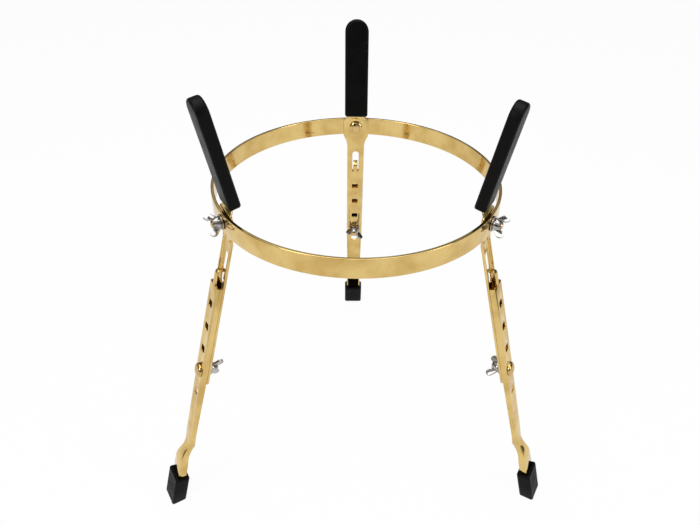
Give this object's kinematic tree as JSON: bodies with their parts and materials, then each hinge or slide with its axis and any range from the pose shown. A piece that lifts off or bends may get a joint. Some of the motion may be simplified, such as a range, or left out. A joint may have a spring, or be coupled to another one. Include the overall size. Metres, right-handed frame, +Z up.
{
  "type": "conga stand",
  "caption": "Low three-legged basket stand for a conga: a steel ring on splayed channel legs with padded rubber arms, pinned lower legs, wing nuts and rubber feet.",
  "frame": {"origin": "on the floor, at the centre of the bottom of the bounding box, 57.5 mm behind the ring's centre towards the back leg", "axes": "+Z up; the back leg lies along +Y, the left leg towards -X and -Y, the right leg towards +X and -Y"},
  "size_m": [0.4976, 0.445, 0.5306],
  "materials": {
    "frame_plating": "polished gold-coloured plating on steel",
    "bolt_plating": "polished gold-coloured plating on steel",
    "nut_plating": "bright nickel plating on die-cast metal",
    "washer_plating": "bright zinc plating on steel",
    "sleeve_rubber": "smooth satin moulded rubber",
    "foot_rubber": "satin moulded rubber, ribbed outside"
  },
  "bodies": {
    "ring": {"ring": "frame_plating"},
    "leg_back": {"upper_leg_back": "frame_plating", "arm_sleeve_back": "sleeve_rubber", "ring_bolt_back": "bolt_plating", "ring_washer_back": "washer_plating", "leg_washer_back": "washer_plating"},
    "lower_leg_back": {"lower_leg_back": "frame_plating", "rubber_foot_back": "foot_rubber", "leg_bolt_back": "bolt_plating"},
    "ring_wing_nut_back": {"ring_wing_nut_back": "nut_plating"},
    "leg_wing_nut_back": {"leg_wing_nut_back": "nut_plating"},
    "leg_left": {"upper_leg_left": "frame_plating", "arm_sleeve_left": "sleeve_rubber", "ring_bolt_left": "bolt_plating", "ring_washer_left": "washer_plating", "leg_washer_left": "washer_plating"},
    "lower_leg_left": {"lower_leg_left": "frame_plating", "rubber_foot_left": "foot_rubber", "leg_bolt_left": "bolt_plating"},
    "ring_wing_nut_left": {"ring_wing_nut_left": "nut_plating"},
    "leg_wing_nut_left": {"leg_wing_nut_left": "nut_plating"},
    "leg_right": {"upper_leg_right": "frame_plating", "arm_sleeve_right": "sleeve_rubber", "ring_bolt_right": "bolt_plating", "ring_washer_right": "washer_plating", "leg_washer_right": "washer_plating"},
    "lower_leg_right": {"lower_leg_right": "frame_plating", "rubber_foot_right": "foot_rubber", "leg_bolt_right": "bolt_plating"},
    "ring_wing_nut_right": {"ring_wing_nut_right": "nut_plating"},
    "leg_wing_nut_right": {"leg_wing_nut_right": "nut_plating"}
  },
  "joints": [
    {"name": "leg_back_swivel", "type": "hinge", "parent": "ring", "child": "leg_back", "pos_m": [0, 0.10167, 0.39052], "axis": [0, 1, 0], "range_deg": [-7, 7]},
    {"name": "lower_leg_back_release", "type": "slide", "parent": "leg_back", "child": "lower_leg_back", "axis": [0, 0.9659, 0.2588], "range_m": [0, 0.035]},
    {"name": "ring_wing_nut_back_turn", "type": "hinge", "parent": "leg_back", "child": "ring_wing_nut_back", "pos_m": [0, 0.11447, 0.39052], "axis": [0, 1, 0], "continuous": true},
    {"name": "leg_wing_nut_back_turn", "type": "hinge", "parent": "leg_back", "child": "leg_wing_nut_back", "pos_m": [0, 0.13704, 0.19386], "axis": [0, -0.9659, -0.2588], "continuous": true},
    {"name": "leg_left_swivel", "type": "hinge", "parent": "ring", "child": "leg_left", "pos_m": [-0.13787, -0.13713, 0.39052], "axis": [-0.866, -0.5, 0], "range_deg": [-7, 7]},
    {"name": "lower_leg_left_release", "type": "slide", "parent": "leg_left", "child": "lower_leg_left", "axis": [-0.8365, -0.483, 0.2588], "range_m": [0, 0.035]},
    {"name": "ring_wing_nut_left_turn", "type": "hinge", "parent": "leg_left", "child": "ring_wing_nut_left", "pos_m": [-0.14896, -0.14353, 0.39052], "axis": [-0.866, -0.5, 0], "continuous": true},
    {"name": "leg_wing_nut_left_turn", "type": "hinge", "parent": "leg_left", "child": "leg_wing_nut_left", "pos_m": [-0.16851, -0.15482, 0.19386], "axis": [0.8365, 0.483, -0.2588], "continuous": true},
    {"name": "leg_right_swivel", "type": "hinge", "parent": "ring", "child": "leg_right", "pos_m": [0.13787, -0.13713, 0.39052], "axis": [0.866, -0.5, 0], "range_deg": [-7, 7]},
    {"name": "lower_leg_right_release", "type": "slide", "parent": "leg_right", "child": "lower_leg_right", "axis": [0.8365, -0.483, 0.2588], "range_m": [0, 0.035]},
    {"name": "ring_wing_nut_right_turn", "type": "hinge", "parent": "leg_right", "child": "ring_wing_nut_right", "pos_m": [0.14896, -0.14353, 0.39052], "axis": [0.866, -0.5, 0], "continuous": true},
    {"name": "leg_wing_nut_right_turn", "type": "hinge", "parent": "leg_right", "child": "leg_wing_nut_right", "pos_m": [0.16851, -0.15482, 0.19386], "axis": [-0.8365, 0.483, -0.2588], "continuous": true}
  ]
}
